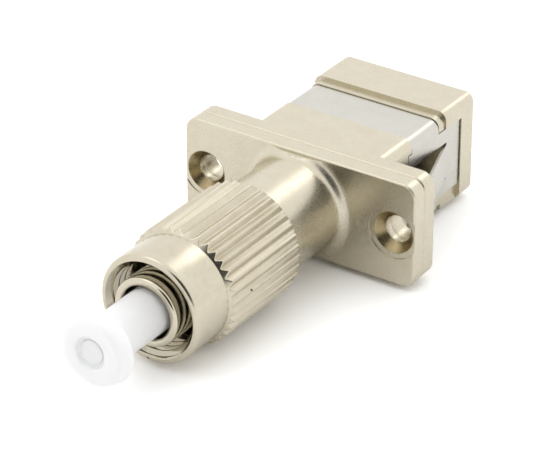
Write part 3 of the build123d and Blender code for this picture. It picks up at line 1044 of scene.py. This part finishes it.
@dataclass
class BevelledSolid:
    """A rigid solid's copy, its facets joined and its edges broken as plating and tumbling leave them."""

    name: str
    node: str
    body: str
    slot: Slot
    edge: float
    hollow: Optional[Hollow] = None
    flat_degrees: float = 0.5
    edge_degrees: float = 40.0
    edge_segments: int = 3

    def build(self, materials: dict[Slot, bpy.types.Material]) -> None:
        """Make the piece and hand it to the frame.

        Args:
            materials: one material for each slot.
        """
        mesh = bpy.data.objects[self.node].data.copy()
        bm = bmesh.new()
        bm.from_mesh(mesh)
        bmesh.ops.remove_doubles(bm, verts=bm.verts, dist=MERGE_MM * MM)
        bmesh.ops.dissolve_limit(
            bm, angle_limit=math.radians(self.flat_degrees), verts=bm.verts, edges=bm.edges,
        )
        if self.hollow:
            self.hollow.shape(bm)
        bm.to_mesh(mesh)
        bm.free()
        obj = make_object(self.name, mesh)
        bevel = obj.modifiers.new("broken_edges", "BEVEL")
        bevel.width = self.edge * MM
        bevel.segments = self.edge_segments
        bevel.limit_method = "ANGLE"
        bevel.angle_limit = math.radians(self.edge_degrees)
        bake_modifiers(obj)
        smooth(obj.data)
        weighted = obj.modifiers.new("even_faces", "WEIGHTED_NORMAL")
        weighted.keep_sharp = True
        bake_modifiers(obj)
        Piece(self.name, self.body, (self.node,), self.slot).hand_over(obj, materials)


BEVELLED_SOLIDS = (
    BevelledSolid("flange_front", "front_body", "housing", Slot.BODY, 0.12),
    BevelledSolid("left_drive_pin", "joining_pin_left", "housing", Slot.BODY, 0.02, Hollow(-5.9)),
    BevelledSolid("right_drive_pin", "joining_pin_right", "housing", Slot.BODY, 0.02, Hollow(5.9)),
    BevelledSolid("socket_shell", "rear_body", "housing", Slot.BODY, 0.12),
    BevelledSolid("spring_clip", "retaining_clip", "housing", Slot.CLIP, 0.04),
)


@dataclass(frozen=True)
class Softbox:
    """A square lamp that faces the object. It fades from its middle to its rim, as cloth over a bulb does.

    way points from the origin to the lamp, distance and size are metres, and core and rim are shares of
    the lamp's size at which its light begins to fade and ends.
    """

    name: str
    way: tuple[float, float, float]
    distance: float
    size: float
    radiance: float
    core: float = 0.1
    rim: float = 0.5

    def build(self) -> None:
        """Add the lamp, with its power worked out from its radiance."""
        data = bpy.data.lights.new(self.name, "AREA")
        data.shape = "SQUARE"
        data.size = self.size
        data.energy = self.radiance * math.pi * self.size ** 2
        data.use_nodes = True
        tree = data.node_tree
        tree.nodes.clear()
        spot = add_node(tree, "ShaderNodeNewGeometry").outputs["Parametric"]
        away = add_node(
            tree, "ShaderNodeVectorMath", {0: spot, 1: (0.5, 0.5, 0.0)}, operation="DISTANCE",
        ).outputs["Value"]
        level = add_node(tree, "ShaderNodeMapRange", {
            "Value": away, "From Min": self.core, "From Max": self.rim, "To Min": 1.0, "To Max": 0.0,
        }, interpolation_type="SMOOTHSTEP").outputs[0]
        light = add_node(tree, "ShaderNodeEmission", {"Strength": level}).outputs[0]
        add_node(tree, "ShaderNodeOutputLight", {"Surface": light})
        lamp = bpy.data.objects.new(self.name, data)
        way = Vector(self.way).normalized()
        lamp.location = way * self.distance
        lamp.rotation_mode = "QUATERNION"
        lamp.rotation_quaternion = (-way).to_track_quat("-Z", "Y")
        bpy.context.scene.collection.objects.link(lamp)


SOFTBOXES = (
    Softbox("rear_softbox", (0.084, 0.72, 0.685), 0.5, 0.28, 1.6),
    Softbox("top_softbox", (-0.4, -0.25, 0.87), 0.5, 0.40, 0.8),
)


@dataclass
class Studio:
    """White table, soft lamps and the camera of the photograph.

    The tent is dark in a round patch beside the camera: dark_front_way points to its middle, and
    dark_front_dots are the cosines of the angles at which the dark begins and is full.
    """

    azimuth: float = 34.04
    elevation: float = 29.62
    distance: float = 239.59
    target: tuple[float, float, float] = (0.266, -7.369, 0.0)
    focal_pixels: float = 3027.8
    image_width: float = 540.0
    sensor: float = 36.0
    near_clip: float = 1.0
    far_clip: float = 10000.0
    floor_z: float = -5.05
    floor_radius: float = 1500.0
    floor_segments: int = 96
    floor_white: float = 0.92
    floor_seen_white: float = 1.27
    floor_mirrored_white: float = 1.06
    tent_level: float = 1.22
    dark_front: float = 0.035
    dark_front_way: tuple[float, float, float] = (0.53, -0.72, 0.45)
    dark_front_dots: tuple[float, float] = (0.839, 0.906)

    def back(self) -> Vector:
        """Return the unit vector from the target to the camera."""
        a, e = math.radians(self.azimuth), math.radians(self.elevation)
        return Vector((math.sin(a) * math.cos(e), -math.cos(a) * math.cos(e), math.sin(e)))

    def add_camera(self) -> None:
        """Add the camera at the photograph's viewing angle."""
        data = bpy.data.cameras.new("camera")
        data.sensor_width = self.sensor
        data.lens = self.focal_pixels / self.image_width * self.sensor
        data.clip_start = self.near_clip * MM
        data.clip_end = self.far_clip * MM
        camera = bpy.data.objects.new("camera", data)
        camera.location = (Vector(self.target) + self.back() * self.distance) * MM
        camera.rotation_mode = "QUATERNION"
        camera.rotation_quaternion = (-self.back()).to_track_quat("-Z", "Y")
        bpy.context.scene.collection.objects.link(camera)
        bpy.context.scene.camera = camera

    def add_floor(self) -> None:
        """Add the white table. Seen directly or in the metal it is lifted to white, and keeps its shadows."""
        mesh = bpy.data.meshes.new("floor")
        bm = bmesh.new()
        bmesh.ops.create_circle(
            bm, cap_ends=True, segments=self.floor_segments, radius=self.floor_radius * MM,
        )
        bmesh.ops.translate(bm, verts=bm.verts, vec=(0, 0, self.floor_z * MM))
        bm.to_mesh(mesh)
        bm.free()
        floor = make_object("floor", mesh)
        material, tree = new_material("white_table")
        path = add_node(tree, "ShaderNodeLightPath").outputs
        bounced = add_node(
            tree, "ShaderNodeMath", {0: path["Is Glossy Ray"], 1: path["Is Transmission Ray"]},
            operation="MAXIMUM",
        ).outputs[0]
        mirrored = add_node(tree, "ShaderNodeMapRange", {
            "Value": bounced, "To Min": self.floor_white, "To Max": self.floor_mirrored_white,
        }).outputs[0]
        white = add_node(tree, "ShaderNodeMapRange", {
            "Value": path["Is Camera Ray"], "To Min": mirrored, "To Max": self.floor_seen_white,
        }).outputs[0]
        colour = add_node(tree, "ShaderNodeCombineColor", {0: white, 1: white, 2: white}).outputs[0]
        matt = add_node(tree, "ShaderNodeBsdfDiffuse", {"Color": colour}).outputs[0]
        add_node(tree, "ShaderNodeOutputMaterial", {"Surface": matt})
        mesh.materials.append(material)

    def add_world(self) -> None:
        """Surround the object with a white tent that has its dark patch and is white behind the object."""
        world = bpy.data.worlds.new("light_tent")
        world.use_nodes = True
        tree = world.node_tree
        tree.nodes.clear()
        way = add_node(tree, "ShaderNodeTexCoord").outputs["Generated"]
        facing = add_node(
            tree, "ShaderNodeVectorMath", {0: way, 1: Vector(self.dark_front_way).normalized()},
            operation="DOT_PRODUCT",
        ).outputs["Value"]
        start, full = self.dark_front_dots
        tent = add_node(tree, "ShaderNodeMapRange", {
            "Value": facing, "From Min": start, "From Max": full,
            "To Min": self.tent_level, "To Max": self.dark_front,
        }).outputs[0]
        seen = add_node(tree, "ShaderNodeLightPath").outputs["Is Camera Ray"]
        level = add_node(tree, "ShaderNodeMath", {0: tent, 1: seen}, operation="MAXIMUM").outputs[0]
        light = add_node(
            tree, "ShaderNodeBackground", {"Color": linear("#FFFFFF"), "Strength": level},
        ).outputs[0]
        add_node(tree, "ShaderNodeOutputWorld", {"Surface": light})
        bpy.context.scene.world = world

    def build(self) -> None:
        """Add the camera, the table, the lamps and the tent."""
        bpy.context.scene.view_settings.view_transform = "Standard"
        self.add_camera()
        self.add_floor()
        self.add_world()
        for softbox in SOFTBOXES:
            softbox.build()
        log.info("studio built")


class Adapter:
    """The whole adapter: its dressed pieces and the finish of every solid that stays."""

    def __init__(self, frame: dict[str, Any]) -> None:
        """Keep the frame and make one material for each slot.
        """
        self.frame = frame
        self.materials = {slot: finish.build() for slot, finish in FINISHES.items()}

    def dress_solids(self) -> None:
        """Give every carried-over solid the material of its slot."""
        for entry in self.frame["record"]["subparts"]:
            obj = self.frame["nodes"][entry["node"]]
            obj.data.materials.clear()
            obj.data.materials.append(self.materials[Slot(entry["material_slot"])])
            log.info("%s keeps its solid, finished as %s", entry["node"], entry["material_slot"])

    def build(self) -> None:
        """Dress the solids and build the detailed pieces."""
        self.dress_solids()
        for piece in (CouplingNut(), PlugBarrel(), DustCap(), *BEVELLED_SOLIDS):
            piece.build(self.materials)


def main() -> None:
    """Build the studio and the adapter."""
    logging.basicConfig(level=logging.INFO, format="%(name)s: %(message)s")
    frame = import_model()
    Studio().build()
    Adapter(frame).build()


if __name__ == "__main__":
    main()
